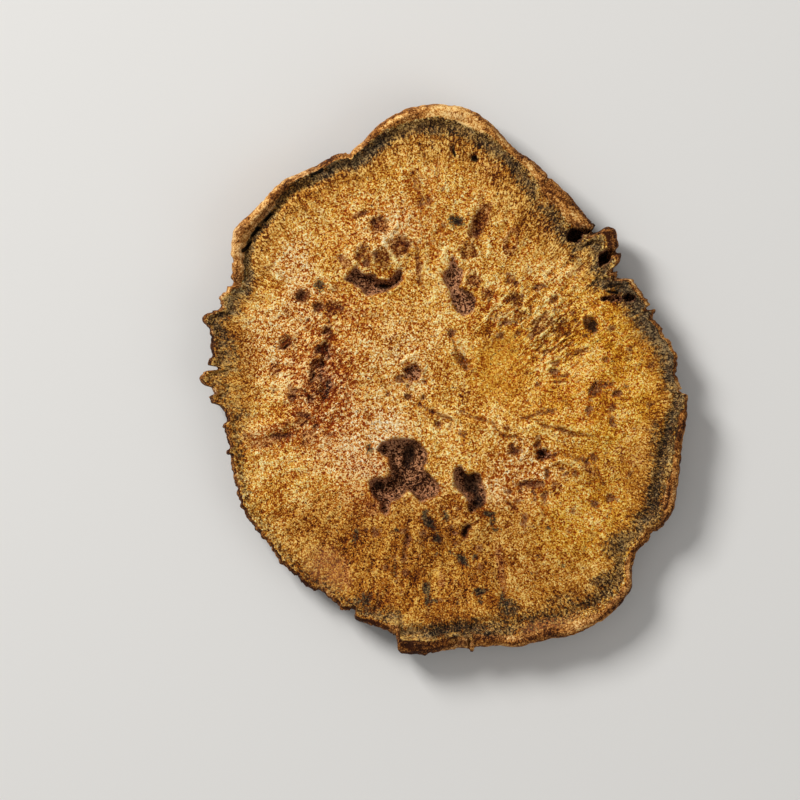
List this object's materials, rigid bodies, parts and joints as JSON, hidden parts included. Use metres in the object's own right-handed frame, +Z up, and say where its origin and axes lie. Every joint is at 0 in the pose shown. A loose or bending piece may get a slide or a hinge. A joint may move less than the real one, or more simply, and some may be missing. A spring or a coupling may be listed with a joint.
{
  "type": "dried rhubarb root slice",
  "caption": "Thick dried cross-cut slice of a rhubarb root: ochre cut face with drying pits, ragged bark rim, cupped underside that lies on a small flat spot.",
  "frame": {"origin": "middle of the slice's box in X and Y, at the surface it lies on", "axes": "+Z up out of the cut face (thickness), +Y along the slice's longest extent towards its pointed end, +X across it"},
  "size_m": [0.057, 0.0642, 0.0064],
  "materials": {
    "dried_root": "dry, granular and matt"
  },
  "bodies": {
    "root": {"root_slice": "dried_root"}
  },
  "joints": []
}
